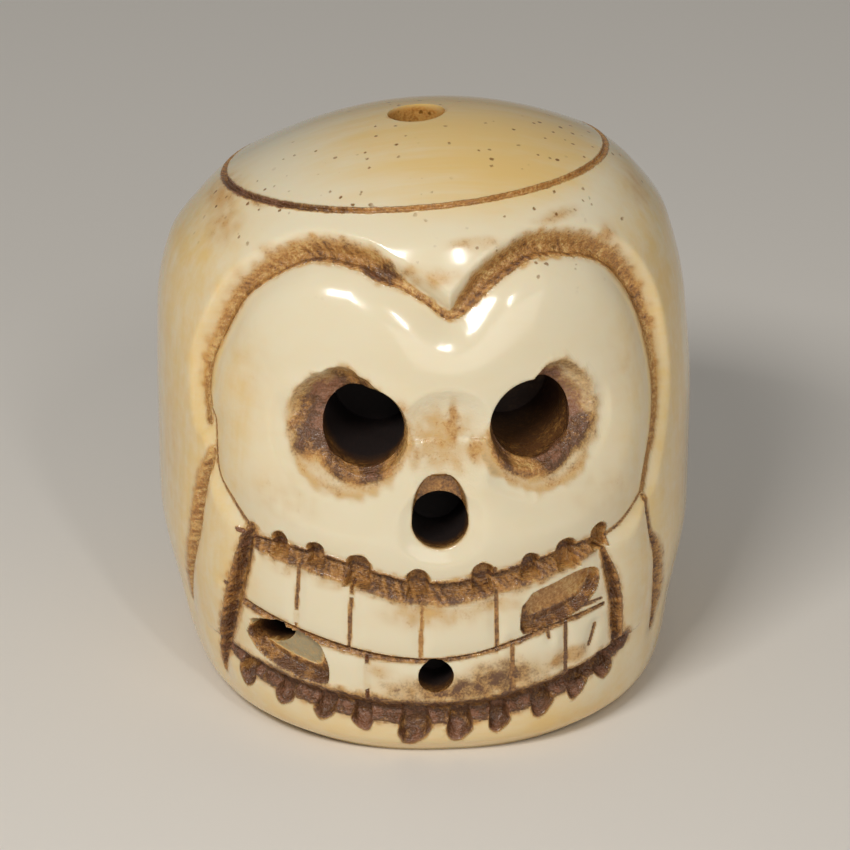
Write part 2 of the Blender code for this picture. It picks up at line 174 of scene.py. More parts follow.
# Finest lines: where the face meets the cheeks, and between the teeth, whose own edges are
# eased down to the line
CHEEK_LINE_WIDTH, CHEEK_LINE_DEPTH = 0.19 * MM, 0.3 * MM
TOOTH_LINE_WIDTH, TOOTH_LINE_DEPTH = 0.27 * MM, 0.30 * MM
TOOTH_EDGE_WIDTH, TOOTH_EDGE_DEPTH = 1.7 * MM, 0.17 * MM

# Eyes: which side, angle and raise of the drilled hole, angle of the bowl, then how far the
# brow over the bowl leans and how far from the bowl's middle it stands
EYES = (
    (-1, -17.0, 0.0, -20.3, math.radians(37), 3.4 * MM),
    (1, 20.9, 0.003, 22.6, math.radians(-40), 2.5 * MM),
)

# The polished hollow round each eye: how many degrees outwards and what height share down from
# the hole it lies, its half width and half height in millimetres, and its depth
HOLLOW_OUT, HOLLOW_DOWN = 3.0, 0.035
HOLLOW_WIDE, HOLLOW_HIGH, HOLLOW_DEPTH = 6.6, 6.2, 0.75 * MM

# The hollow between the eyes: its place, half width, reach up and down in millimetres, depth
BRIDGE_PLACE = (1.5, 0.645)
BRIDGE_WIDE, BRIDGE_UP, BRIDGE_DOWN, BRIDGE_DEPTH = 3.4, 3.1, 4.5, 0.62 * MM

# The nose: how far its rim is rounded down, and the notch that runs up from the hole
NOSE_ROUNDING = 0.35 * MM
NOSE_NOTCH_HEIGHT, NOSE_NOTCH_DEPTH = 3.05 * MM, 1.5 * MM

# Drilled holes: depth of the nose, and angle, height share, radius and stretch of the small
# holes in the lower teeth, of which a stretched one is turned. A drill starts outside the skin
# and is made in short steps.
NOSE_HOLE_DEPTH = 6 * MM
TOOTH_HOLE_DEPTH = 3 * MM
TOOTH_HOLES = ((-1.5, 0.180, 1.05 * MM, 1.0), (-36.0, 0.226, 0.88 * MM, 1.65))
DRILL_START = 1.5 * MM
DRILL_STEP = 0.7 * MM
DRILL_SIDES = 72
STRETCH_TURN = math.radians(20)

# Light reaches far into the cord hole, above the first height, and into the right eye, right of a
# place and above the second height. How far in the painted shade is full, there and elsewhere.
CORD_HOLE_ABOVE = 26 * MM
RIGHT_EYE_BEYOND, RIGHT_EYE_ABOVE = 2.5 * MM, 16 * MM
PAINTED_SHADE_REACH_LIT, PAINTED_SHADE_REACH_DARK = 7.0 * MM, 1.3 * MM

# Stains on the polished skin, the faint wide ones partly painted shade: angle, height share, half
# width and half height in millimetres, how much stain and how dark it is. Without stain they
# darken a stained cut.
SMUDGES_AND_PAINTED_SHADE = (
    (0.0, 0.660, 3.4, 3.0, 0.58, -0.1), (1.5, 0.610, 2.8, 2.6, 0.46, -0.1),
    (2.9, 0.668, 0.70, 2.8, 0.90, 0.20), (7.5, 0.625, 1.4, 1.7, 0.65, 0.2),
    (-5.5, 0.620, 0.9, 1.6, 0.50, 0.2), (-9.0, 0.700, 1.4, 1.4, 0.45, 0.0),
    (-3, 0.312, 4.5, 1.8, 0.58, -0.1), (10, 0.320, 3.0, 1.2, 0.50, 0.0),
    (-31, 0.375, 2.4, 0.9, 0.50, 0.1), (-22, 0.360, 2.0, 0.7, 0.45, 0.2),
    (2, 0.150, 7.0, 1.7, 0.90, 0.65), (12, 0.170, 4.0, 2.0, 0.95, 0.75),
    (25, 0.185, 3.0, 1.2, 0.75, 0.45), (-31, 0.145, 3.4, 0.9, 0.80, 0.6),
    (-12, 0.190, 1.6, 1.2, 0.45, 0.1), (1, 0.900, 3.0, 1.1, 0.50, 0.0),
    (-7, 0.915, 2.6, 0.8, 0.45, 0.1), (12, 0.945, 3.0, 0.8, 0.50, 0.2),
    (38, 0.960, 2.8, 0.8, 0.55, 0.3), (51, 0.905, 1.2, 1.8, 0.55, 0.2),
    (-45, 0.935, 1.6, 0.9, 0.45, 0.2), (-52, 0.880, 0.9, 1.6, 0.45, 0.1),
    (-35, 0.230, 3.0, 1.0, 0.40, 0.2), (26, 0.310, 2.8, 1.3, 0.35, 0.1),
    (-78, 0.990, 5.0, 2.6, 0.50, -0.1), (-66, 0.955, 3.5, 2.4, 0.45, 0.0),
    (-60, 1.000, 2.0, 0.7, 0.50, 0.3), (75, 0.940, 3.0, 2.6, 0.35, 0.0),
    # The faint wide patches on this line and the next five warm and darken the face's edges, the
    # teeth, the sides and the foot: partly the ivory's own yellowing, partly painted shade.
    (-34, 0.510, 5.0, 3.2, 0.25, 0.0), (36, 0.500, 5.0, 3.0, 0.23, 0.0),
    (-44, 0.720, 4.0, 5.0, 0.17, 0.0), (46, 0.720, 4.0, 5.0, 0.20, 0.0),
    (3, 0.300, 9.0, 1.8, 0.20, 0.0), (25, 0.300, 5.0, 2.5, 0.22, 0.0),
    (48, 0.250, 3.0, 4.0, 0.20, 0.0), (30, 0.040, 7.0, 1.2, 0.22, 0.0),
    (-30, 0.035, 7.0, 1.0, 0.20, 0.0), (70, 0.450, 5.0, 8.0, 0.22, 0.0),
    (-72, 0.480, 4.0, 8.0, 0.20, 0.0),
    (-58, 0.700, 3.0, 6.0, 0, -0.12), (58, 0.690, 3.0, 6.0, 0, -0.10),
    (-12.5, 0.915, 2.0, 1.0, 0, 0.7), (-42, 0.370, 1.3, 3.0, 0, 0.25),
    (57, 0.800, 1.5, 2.5, 0, 0.2), (-30, 0.935, 2.6, 1.0, 0, 0.25),
)


def ease(x):
    """Smooth step from 0 to 1."""
    x = np.clip(x, 0.0, 1.0)
    return x * x * (3 - 2 * x)


def through_points(knots, values, at):
    """Smooth values at places, through the values at the knots, without overshoot."""
    knots, values, at = np.array(knots), np.array(values), np.asarray(at, float)
    spans = np.diff(knots)
    slopes = np.diff(values) / spans
    before, after = slopes[:-1], slopes[1:]
    same_way = before * after > 0
    total = np.where(same_way, before + after, 1.0)
    tangents = np.concatenate((slopes[:1], np.where(same_way, 2 * before * after / total, 0.0),
                               slopes[-1:]))
    i = np.clip(np.searchsorted(knots, at, side="right") - 1, 0, len(spans) - 1)
    span = spans[i]
    t = (at - knots[i]) / span
    return ((1 + 2 * t) * (1 - t) ** 2 * values[i] + t * (1 - t) ** 2 * span * tangents[i]
            + t * t * (3 - 2 * t) * values[i + 1] - t * t * (1 - t) * span * tangents[i + 1])


def body_points(size, angle, share, inward=1.0, rise=0.0):
    """Points of the smooth body, at `inward` of the way from the axis to the skin."""
    heights, halves, fronts, shifts = zip(*SECTIONS)
    half, front, shift = (through_points(heights, values, share)
                          for values in (halves, fronts, shifts))
    front, shift = front * size.front_reach, shift * size.width / 2
    power = BASE_SQUARENESS + (RIM_SQUARENESS - BASE_SQUARENESS) * share
    s, c = np.sin(np.radians(angle)), np.cos(np.radians(angle))
    reach = np.where(c > 0, front, half * size.back_reach)
    radius = (np.abs(s / (half * size.width / 2)) ** power + np.abs(c / reach) ** power)
    radius = radius ** (-1 / power) * inward
    x, y = shift + radius * s, -radius * c
    slope = ease((share - SLOPE_START) / (1 - SLOPE_START))
    lift = slope * (x * math.tan(size.cap_slope_side) - y * math.tan(size.cap_slope_back))
    axis_y = (size.front_reach - size.back_reach) / 2
    return np.stack((x, axis_y + y, share * size.rim_height + rise + lift), axis=-1)


def unit(vectors):
    """Vectors of length one."""
    return vectors / np.maximum(np.linalg.norm(vectors, axis=-1, keepdims=True), 1e-12)


def skin_at(size, angle, share):
    """Points of the skin and the directions straight out of it."""
    angle, share = np.asarray(angle, float), np.asarray(share, float)
    step = 0.002
    round_axis = body_points(size, angle + 0.5, share) - body_points(size, angle - 0.5, share)
    upwards = (body_points(size, angle, np.minimum(1.0, share + step))
               - body_points(size, angle, np.maximum(0.0, share - step)))
    return body_points(size, angle, share), unit(np.cross(round_axis, upwards))


def axes_at(size, angle, share):
    """A place on the skin, and the directions to the right of it and up from it."""
    place, out = skin_at(size, angle, share)
    right = unit(np.cross([0.0, 0.0, 1.0], out))
    return place, right, np.cross(out, right)


def smooth_path(points, steps=6):
    """A smooth line through a path's angles, height shares and sizes."""
    points = np.array(points, float)
    ends = np.vstack((2 * points[0] - points[1], points, 2 * points[-1] - points[-2]))
    line = []
    for i in range(1, len(ends) - 2):
        before, start, end, after = ends[i - 1:i + 3]
        for t in np.arange(steps) / steps:
            line.append(0.5 * (2 * start + (end - before) * t
                               + (2 * before - 5 * start + 4 * end - after) * t * t
                               + (3 * start - before - 3 * end + after) * t ** 3))
    line.append(points[-1])
    return np.array(line)


def to_segment(points, start, end):
    """How far along a segment the nearest place to each point is, and the way from it."""
    step = end - start
    offset = points - start
    along = np.clip(offset @ step / (step @ step), 0.0, 1.0)
    return along, offset - along[:, None] * step


class Skin:
    """The points of the uncarved skin, with what the carver and the years did at each, and painted
    shade.
    """

    def __init__(self, size, points, normals):
        self.size = size
        self.points = points
        self.normals = normals
        count = len(points)
        self.depth = np.zeros(count)
        self.stain = np.zeros(count)
        self.tone = np.zeros(count)
        self.tooled = np.zeros(count)
        self.wobble = {scale: self.grain(scale) for scale in (1.6, 0.6, 0.25)}
        self.scars = 1 - 2.5 * np.abs(self.grain(0.45)) + self.wobble[0.25]

    def grain(self, scale):
        """Uneven value from -1 to 1 at each point, `scale` mm from one swing to the next."""
        places = (self.points / (scale * MM)).tolist()
        return np.array([noise.noise(place) for place in places])

    def deepen(self, near, depth):
        """Take the skin down to a depth at the points `near`, where it isn't deeper yet."""
        self.depth[near] = np.maximum(self.depth[near], depth)

    def cut(self, near, depth, stain, tone, tooled):
        """Deepen, stain and roughen the skin at the points `near`."""
        self.deepen(near, depth)
        darker = stain > self.stain[near]
        self.tone[near] = np.where(darker, tone, self.tone[near])
        self.stain[near] = np.maximum(self.stain[near], stain)
        self.tooled[near] = np.maximum(self.tooled[near], tooled)

    def beside(self, path, reach):
        """Points within reach of a path: which, how far above it, along it, and its size."""
        line = smooth_path(path)
        places, normals = skin_at(self.size, line[:, 0], line[:, 1])
        low, high = places.min(axis=0) - reach, places.max(axis=0) + reach
        near = np.flatnonzero(((self.points > low) & (self.points < high)).all(axis=1))
        points = self.points[near]
        nearest = np.full(len(near), np.inf)
        side, run, size = np.zeros((3, len(near)))
        travelled = 0.0
        for i in range(len(places) - 1):
            step = places[i + 1] - places[i]
            length = np.linalg.norm(step)
            t, gap = to_segment(points, places[i], places[i + 1])
            distance = np.linalg.norm(gap, axis=1)
            closer = distance < nearest
            upwards = gap @ np.cross(normals[i], step)
            nearest = np.where(closer, distance, nearest)
            side = np.where(closer, np.sign(upwards) * distance, side)
            run = np.where(closer, travelled + t * length, run)
            size = np.where(closer, line[i, 2] + t * (line[i + 1, 2] - line[i, 2]), size)
            travelled += length
        kept = nearest < reach
        return near[kept], side[kept], run[kept], size[kept]

    def around(self, angle, share, reach):
        """Points within reach of a place: which, and how far right of it and above it."""
        place, right, above = axes_at(self.size, angle, share)
        offset = self.points - place
        near = np.flatnonzero((offset ** 2).sum(axis=1) < reach ** 2)
        return near, offset[near] @ right, offset[near] @ above


def carve_groove(skin, path, width, depth, steep, tone, stain=1.0, rough=1.0, spread=1.0):
    """A groove with one steep wall: the upper one where steep is 1, the lower where it is -1.

    Where steep is 0 both walls are alike. The other wall runs out as far as spread says.
    """
    reach = max(width * 1.1 * (1 + spread), width / 2 + 0.7 * MM)
    near, side, run, size = skin.beside(path, reach)
    half = width / 2 * size
    wobble = skin.wobble[0.6][near]
    uneven = rough * (0.13 * wobble + 0.06 * skin.wobble[0.25][near])
    across = side / half * (steep or 1) + uneven
    if steep:
        profile = np.where(across > 0.4, 1 - ease((across - 0.4) / 0.65),
                           (1 - ease((0.4 - across) / (1.0 + 0.9 * spread))) ** 1.3)
        edge = np.where(across > 0, ease((1.12 - across) / 0.22),
                        ease((1.0 + 0.8 * spread + across) / (0.3 + 1.4 * spread)))
        wall = 1 - ease(np.abs(across - 0.62) / 0.34)
    else:
        profile = wall = 1 - ease(np.abs(across))
        edge = ease((1.15 - np.abs(across)) / 0.4)
    ripple = noise_along(run, side)
    strokes = rough * 0.05 * MM * (skin.scars[near] + 0.6 * ripple) * ease(profile * 3)
    skin.cut(near, depth * size ** 0.7 * profile + strokes, stain * edge,
             tone - 0.12 + 0.35 * wall + rough * 0.40 * ripple, rough * edge)
    fringe = 1 - ease((np.abs(side) - half * 1.1) / np.minimum(0.42 * MM, 1.2 * half))
    fringe = fringe * np.clip(0.26 + 0.5 * wobble, 0.21, 1) * min(stain * 2, 1)
    skin.stain[near] = np.maximum(skin.stain[near], fringe)


def noise_along(run, side):
    """Uneven value for slanting tool strokes beside a path."""
    places = np.stack((run / (0.28 * MM) + side / (0.4 * MM), side / (1.6 * MM),
                       np.zeros(len(run))), axis=1)
    return np.array([noise.noise(place) for place in places.tolist()])


def round_face(skin, size):
    """Round the face's edge down to the groove and the cheek lines, most of all at the brows."""
    path = CHEEK_LINE_LEFT[::-1][:-1] + HEART_PATH + CHEEK_LINE_RIGHT[1:]
    path = [(angle, share, 0.4 + 0.6 * float(ease((share - 0.55) / 0.3)))
            for angle, share, _ in path]
    near, side, _, strength = skin.beside(path, size.face_rounding)
    fall = ease((size.face_rounding + side) / size.face_rounding * 0.5) * 2
    fall = np.where(side < 0, fall ** 1.7, ease(1 - side / (1.2 * MM)))
    skin.deepen(near, size.face_drop * strength * fall)
    for edge in EASED_EDGES:
        ease_edge(skin, *edge)


def ease_edge(skin, path, reach, drop, way):
    """Round the skin down to a cut: above it where way is 1, below where -1, or on both sides."""
    near, side, _, _ = skin.beside(path, reach)
    kept = side * way >= 0
    near, away = near[kept], np.abs(side[kept]) / reach
    skin.deepen(near, drop * np.clip(1 - away, 0, 1) ** 1.8)


def carve_rim_groove(skin, size):
    """The groove that parts the cap from the head, darkest on the left."""
    angles = np.linspace(-180, 180, 145)
    rim = size.width / 2 * SECTIONS[-1][1]
    inward = 1 - size.rim_groove_width / 2 / rim
    places = body_points(size, angles, np.ones_like(angles), inward)
    band = np.flatnonzero(np.abs(skin.rim_distance) < 2 * MM)
    points = skin.points[band]
    nearest = np.full(len(band), np.inf)
    for start, end in zip(places[:-1], places[1:]):
        _, gap = to_segment(points, start, end)
        nearest = np.minimum(nearest, np.linalg.norm(gap, axis=1))
    uneven = 0.16 * skin.wobble[0.6][band] + 0.14 * skin.wobble[0.25][band]
    across = nearest / (size.rim_groove_width / 2) + uneven
    left = ease((-points[:, 0] / MM - 3) / 6) * ease((-points[:, 1] / MM + 4) / 6)
    profile = 1 - ease(across / 1.1)
    stain = ease((1.3 + 0.6 * left - across) / (0.35 + 0.9 * left))
    skin.cut(band, size.rim_groove_depth * profile, stain * (0.9 + 0.1 * left),
             0.22 + 0.7 * left, 0.6 * stain)


def deeper_upwards(up):
    """How much deeper an eye socket is cut towards the brow."""
    return np.clip(1.0 + 0.42 * up / (3 * MM), 0.35, 1.6)


def carve_eye(skin, size, side, angle, bowl_angle, brow_lean, brow_reach):
    """One eye socket: a wide polished hollow, a rough stained bowl and a funnel to the hole."""
    level = size.eye_level
    near, right, up = skin.around(angle + side * HOLLOW_OUT, level - HOLLOW_DOWN, 8.0 * MM)
    out = np.hypot(right / HOLLOW_WIDE, up / HOLLOW_HIGH) / MM
    skin.deepen(near, HOLLOW_DEPTH * (1 - ease(out)) ** 1.2)

    near, right, up = skin.around(bowl_angle, level, 6.5 * MM)
    broad, wobble = skin.wobble[1.6][near], skin.wobble[0.6][near]
    out = np.hypot(right, up * 0.96) / size.bowl_radius
    brow = np.maximum(math.sin(brow_lean) * right + math.cos(brow_lean) * up, 0.0) / brow_reach
    out = (out ** 9 + brow ** 9) ** (1 / 9)
    out = np.maximum(out + 0.03 * broad + 0.03 * wobble, 0.0)
    steep = 1.5 + 1.7 * ease(0.5 + up / (3 * MM))
    bowl = np.clip(1.0 - out ** steep, 0.0, 1.0) ** 0.85

    # Paler below and outside the hole, and greyish on the right eye's outer side only
    close, hole_right, hole_up = skin.around(angle, level, 20 * MM)
    same = np.isin(close, near)
    rim = (np.hypot(hole_right[same], hole_up[same]) - size.eye_radius) / MM
    outer = side * right
    low = ease((-up / MM - 0.3 - 0.30 * outer / MM) / 1.6) * ease((rim - 0.45) / 0.6)
    grey = side * ease((outer / MM - 1.0) / 1.5) * ease(0.5 + up / (4 * MM))
    grey = np.maximum(grey, 0)
    ragged = 0.05 * broad + 0.05 * wobble
    stain = ease((1.08 - out - ragged) / 0.36) * (1 - 0.72 * low) * (1 - 0.35 * grey)
    halo = 0.45 * ease((1.10 - out - ragged) / 0.18) * ease((out - 0.66) / 0.30)
    stain = np.maximum(stain, halo)
    # The stain darkens towards the brow: partly real stain, partly painted shade of the bowl's
    # upper wall
    tone = (0.74 + 0.90 * broad + 0.30 * wobble
            + 0.30 * ease(up / (3 * MM)) - 0.40 * low - 0.50 * ease((out + ragged - 0.78) / 0.28)
            + 0.40 * grey - 0.25 * ease(outer / (-2 * MM)))
    strokes = 0.06 * MM * (skin.scars[near] + wobble) * ease(bowl * 3) * (1 - 0.7 * low)
    skin.cut(near, size.bowl_depth * bowl * deeper_upwards(up) + strokes, stain, tone,
             stain * (1 - 0.5 * low))

    edge = np.hypot(right, up) / (size.bowl_radius + 1.0 * MM)
    ridge = np.clip(1 - edge ** 7, 0, 1) * ease(0.4 + (0.45 * outer - 0.9 * up) / (3 * MM))
    skin.deepen(near, size.eye_ridge * ridge)
    near, right, up = skin.around(angle, level, size.eye_radius * 1.8)
    out = np.hypot(right, up) - size.eye_radius
    funnel = 1 - ease((out + 0.15 * MM) / (0.75 * MM))
    skin.cut(near, size.bowl_depth * 1.1 * deeper_upwards(up) * funnel, funnel * 0.9, 0.75,
             0.4 * funnel)


def carve_bridge(skin):
    """The shallow hollow between the eyes, down to the nose."""
    near, right, up = skin.around(*BRIDGE_PLACE, 5.0 * MM)
    high = np.where(up > 0, up / BRIDGE_UP, up / BRIDGE_DOWN)
    out = np.hypot(right / BRIDGE_WIDE, high) / MM
    steep = np.where(up > 0, 4.0, 1.5)
    hollow = np.clip(1 - np.clip(out, 0, 1) ** steep, 0, 1)
    skin.deepen(near, BRIDGE_DEPTH * hollow + 0.02 * MM * skin.scars[near] * hollow)
    skin.tooled[near] = np.maximum(skin.tooled[near], 0.25 * ease(hollow * 2))


def carve_nose(skin, size):
    """The nose: a rounded rim round the hole and a brown notch that runs up from it."""
    near, right, up = skin.around(size.nose_angle, size.nose_level, 5.0 * MM)
    out = np.hypot(right, up) - size.nose_radius
    skin.deepen(near, NOSE_ROUNDING * (1 - ease(out / (1.5 * MM))) ** 1.5)
    rim = 1 - ease((out + 0.1 * MM) / (0.35 * MM))
    skin.cut(near, 0.55 * MM * rim, 0.5 * rim, 0.5, 0.0)
    height = np.clip(up / NOSE_NOTCH_HEIGHT, 0.0, 1.0)
    width = size.nose_radius * np.sqrt(np.clip(1 - height ** 2.4, 0.0, 1.0))
    inside = 1 - ease((np.abs(right) - width + 0.2 * MM) / (0.35 * MM))
    inside = inside * ease(up / (0.4 * MM)) * ease((3.15 * MM - up) / (0.5 * MM))
    skin.cut(near, NOSE_NOTCH_DEPTH * inside * (1.1 - height * 0.45), inside, 0.45,
             0.3 * inside)


def carve_teeth(skin, size):
    """Gums, mouth line, tooth lines, missing teeth and the notches beside the gums."""
    carve_groove(skin, UPPER_GUM_PATH, size.upper_gum_width, size.gum_depth, 1, 0.60, spread=0.5)
    carve_groove(skin, LOWER_GUM_PATH, size.lower_gum_width, size.gum_depth, -1, 0.85, spread=0.6)
    carve_groove(skin, MOUTH_PATH, size.mouth_width, size.mouth_depth, 1, 0.60,
                 rough=0.7, spread=0.8)
    for top, bottom, depth, tone in TOOTH_LINES:
        path = ((*top, 1.0), (*bottom, 0.8))
        carve_groove(skin, path, TOOTH_LINE_WIDTH, TOOTH_LINE_DEPTH * depth, 0, tone + 0.15,
                     stain=0.6 + 0.4 * depth, rough=0.3)
        carve_groove(skin, path, TOOTH_EDGE_WIDTH, TOOTH_EDGE_DEPTH, 0, tone, stain=0, rough=0)
    carve_window(skin, size, UPPER_WINDOW, 0.15)
    carve_window(skin, size, LOWER_WINDOW, -1.0)
    for angle, share, scale in UPPER_NOTCHES:
        carve_notch(skin, size, angle, share, scale, 1)
    for angle, share, scale in LOWER_NOTCHES:
        carve_notch(skin, size, angle, share, scale, -1)


def carve_notch(skin, size, angle, share, scale, way):
    """A notch, open towards its gum: half round over the teeth, pointed in the chin."""
    near, right, up = skin.around(angle, share, 2.2 * MM * scale)
    up, right = up * way / scale, right / scale
    ahead = np.maximum(up, 0.0)
    if way > 0:
        out = np.hypot(right, ahead) / size.notch_radius
    else:
        right = right + 0.30 * ahead * math.sin(angle * 7.0)
        out = (np.abs(right) ** 1.6 + (ahead * 0.84) ** 1.6) ** (1 / 1.6) / size.notch_radius
    out = np.where(up < -1.0 * MM, 9.0, out) + 0.12 * skin.wobble[0.6][near]
    inside = 1 - ease((out - 0.70) / 0.42)
    stain = 1 - ease((out - 0.95) / 0.25)
    fall = 1.0 if way > 0 else 1.0 - 0.55 * np.clip(ahead / (0.9 * MM), 0, 1)
    tip = np.clip(ahead / (0.8 * MM), 0, 1)
    tone = 0.25 + 0.5 * tip if way > 0 else 0.75 + 0.3 * tip + 0.5 * skin.wobble[0.6][near]
    skin.cut(near, size.notch_depth * inside * fall, stain * (1 - 0.1 * tip), tone, stain)


def carve_window(skin, size, outline, tone):
    """A sunken window where a tooth is missing, greyish where the tone is below zero."""
    rounded = smooth_path([(*corner, 1.0) for corner in (*outline, *outline[:3])], 4)[4:-8]
    corners, _ = skin_at(size, rounded[:, 0], rounded[:, 1])
    middle = [sum(values) / len(outline) for values in zip(*outline)]
    place, right, above = axes_at(size, *middle)
    flat = np.stack(((corners - place) @ right, (corners - place) @ above), axis=1)
    near, u, v = skin.around(*middle, 5.5 * MM)
    distance, inside = np.full(len(near), np.inf), np.zeros(len(near), bool)
    for start, end in zip(flat, np.roll(flat, -1, axis=0)):
        _, gap = to_segment(np.stack((u, v), axis=1), start, end)
        distance = np.minimum(distance, np.linalg.norm(gap, axis=1))
        (x0, y0), (dx, dy) = start, end - start
        crosses = (y0 > v) != (end[1] > v)
        inside ^= crosses & (u < x0 + (v - y0) * dx / (dy if dy else 1e-12))
    into = np.where(inside, distance, -distance) + 0.05 * MM * skin.wobble[0.6][near]
    floor = ease((into + 0.08 * MM) / (0.26 * MM))
    stain = ease((into + 0.12 * MM) / (0.12 * MM))
    rough = 0.03 * MM * skin.wobble[0.25][near] * floor
    lip = 1 - ease((into + 0.4 * v - 0.20 * MM) / (0.30 * MM))
    lip_tone = 0.65 + 0.5 * skin.wobble[0.6][near]
    skin.cut(near, size.window_depth * floor + rough, stain * (0.70 + 0.25 * lip),
             tone + (lip_tone - tone) * lip, stain * (0.3 + 0.6 * lip))


def smear_stain_and_shade(skin, angle, share, wide, high, stain, tone):
    """A soft stain on the polished skin, faint ones being partly painted shade; without stain, a
    darker part of a stained cut.
    """
    near, right, up = skin.around(angle, share, max(wide, high) * 1.2 * MM)
    out = np.hypot(right / wide, up / high) / MM
    if not stain:
        skin.tone[near] += tone * (1 - ease(out))
        return
    amount = stain * (1 - ease(out)) * (0.75 + 0.5 * skin.wobble[0.6][near])
    fresh = amount > skin.stain[near]
    skin.tone[near] = np.where(fresh, tone, skin.tone[near])
    skin.stain[near] = np.maximum(skin.stain[near], amount)


def carve_all(skin, size):
    """Every cut, in the order that the carver would make them."""
    round_face(skin, size)
    carve_bridge(skin)
    for side, angle, _, bowl_angle, brow_lean, brow_reach in EYES:
        carve_eye(skin, size, side, angle, bowl_angle, brow_lean, brow_reach)
    carve_nose(skin, size)
    carve_groove(skin, HEART_PATH, size.heart_width, size.heart_depth, -1, 0.33)
    for path in (CHEEK_LINE_LEFT, CHEEK_LINE_RIGHT):
        carve_groove(skin, path, CHEEK_LINE_WIDTH, CHEEK_LINE_DEPTH, 1, 0.55,
                     stain=0.8, rough=0.3, spread=0.3)
    for path, steep, tone, stain in JAW_CUTS:
        carve_groove(skin, path, size.jaw_cut_width, size.jaw_cut_depth, steep, tone, stain)
    carve_teeth(skin, size)
    carve_rim_groove(skin, size)
    for patch in SMUDGES_AND_PAINTED_SHADE:
        smear_stain_and_shade(skin, *patch)


def spaced(knots, count):
    """Places along the knots' range, spread out as the spacing at the knots asks."""
    places, spacing = zip(*knots)
    fine = np.linspace(places[0], places[-1], 4001)
    density = 1 / np.interp(fine, places, spacing)
    travelled = np.concatenate(([0.0], np.cumsum((density[1:] + density[:-1]) / 2)))
    return np.interp(np.linspace(0, travelled[-1], count), travelled, fine)


def ring_places(size):
    """Height share, share of the reach and rise of each ring, from the underside up."""
    rim = size.width / 2 * SECTIONS[-1][1]
    groove = 1 - np.linspace(0, 1.3, GROOVE_RINGS + 1)[1:] * size.rim_groove_width / rim
    cap = np.linspace(groove[-1], 0, CAP_RINGS + 2)[1:-1]
    inward = np.concatenate((np.ones(SIDE_RINGS), groove, cap))
    share = np.concatenate((spaced(RING_SPACING, SIDE_RINGS), np.ones(len(groove) + len(cap))))
    rise = np.where(inward < 1, size.cap_rise * (1 - inward ** 2), 0.0)
    return share, inward, rise


def vertex_places(mesh):
    """Places of a mesh's points."""
    co = np.empty(len(mesh.vertices) * 3)
    mesh.vertices.foreach_get("co", co)
    return co.reshape(-1, 3)


def grid_places(mesh, rings):
    """Column and ring of each point of the sphere, in quarters between the first ones."""
    co = unit(vertex_places(mesh))
    latitude = np.arcsin(np.clip(co[:, 2], -1, 1)) + math.pi / 2
    turn = np.degrees(np.arctan2(co[:, 0], -co[:, 1]))
    column = np.rint((turn + 180) / 360 * COLUMNS * 4) / 4
    ring = np.rint(latitude / math.pi * (rings + 1) * 4) / 4
    return column, ring


def skin_of(mesh, size):
    """The carved skin over the points of the sphere."""
    share, inward, rise = ring_places(size)
    rings = len(share)
    column, ring = grid_places(mesh, rings)
    share = np.concatenate(([0.0], share, [1.0]))
    inward = np.concatenate(([0.0], inward, [0.0]))
    rise = np.concatenate(([0.0], rise, [size.cap_rise]))
    knots = np.arange(rings + 2)
    angle = np.interp(column, np.arange(COLUMNS + 1), spaced(COLUMN_SPACING, COLUMNS + 1))
    share, inward, rise = (np.interp(ring, knots, row) for row in (share, inward, rise))
    points = body_points(size, angle, share, inward, rise)
    _, out = skin_at(size, angle, np.clip(share, 0.002, 1.0))
    up = np.array([0.0, 0.0, 1.0])
    inner = np.maximum(inward - 0.02, 0.0)
    inner_rise = np.where(share > 0.5, size.cap_rise * (1 - inner ** 2), 0)
    slope = unit(points - body_points(size, angle, share, inner, inner_rise))
    across = unit(np.cross(up, np.stack((np.sin(np.radians(angle)), -np.cos(np.radians(angle)),
                                         np.zeros(len(angle))), axis=1)))
    cap = unit(np.cross(slope, across))
    cap = np.where(cap[:, 2:] < 0, -cap, cap)
    rim = ease((1 - inward) * 14)[:, None]
    normals = unit(np.where(inward[:, None] < 1, out * (1 - rim) + cap * rim, out))
    normals[inward < 0.05] = up
    skin = Skin(size, points, normals)
    skin.rim_distance = np.where(inward < 1, (1 - inward) * size.width / 2 * SECTIONS[-1][1],
                                 (share - 1) * size.rim_height)
    carve_all(skin, size)
    flat = share < 0.004
    for values in (skin.depth, skin.stain, skin.tooled):
        values[flat] = 0.0
    skin.carved = skin.points - skin.normals * skin.depth[:, None]
    return skin


def shape_body(obj, size):
    """Split the sphere's faces where the carving bends most, then carve it."""
    mesh = obj.data
    for most_depth, most_stain in SPLIT_LIMITS:
        skin = skin_of(mesh, size)
        starts = np.empty(len(mesh.polygons), dtype=np.int32)
        corners = np.empty(len(mesh.loops), dtype=np.int32)
        mesh.polygons.foreach_get("loop_start", starts)
        mesh.loops.foreach_get("vertex_index", corners)
        bent = np.zeros(len(starts), bool)
        for row, most in ((skin.depth, most_depth), (skin.stain, most_stain)):
            at_corners = row[corners]
            bent |= (np.maximum.reduceat(at_corners, starts)
                     - np.minimum.reduceat(at_corners, starts)) > most
        mesh.vertices.foreach_set("select", np.zeros(len(mesh.vertices), bool))
        mesh.edges.foreach_set("select", np.zeros(len(mesh.edges), bool))
        mesh.polygons.foreach_set("select", bent)
        bpy.context.tool_settings.mesh_select_mode = (False, False, True)
        bpy.ops.object.mode_set(mode="EDIT")
        bpy.ops.mesh.subdivide(number_cuts=1)
        bpy.ops.object.mode_set(mode="OBJECT")
    skin = skin_of(mesh, size)
    mesh.vertices.foreach_set("co", skin.carved.ravel())
    mesh.update()
    return skin


def pick(*objects):
    """Select only these objects, with the first one active."""
    bpy.ops.object.select_all(action="DESELECT")
    for obj in objects:
        obj.select_set(True)
    if objects:
        bpy.context.view_layer.objects.active = objects[0]


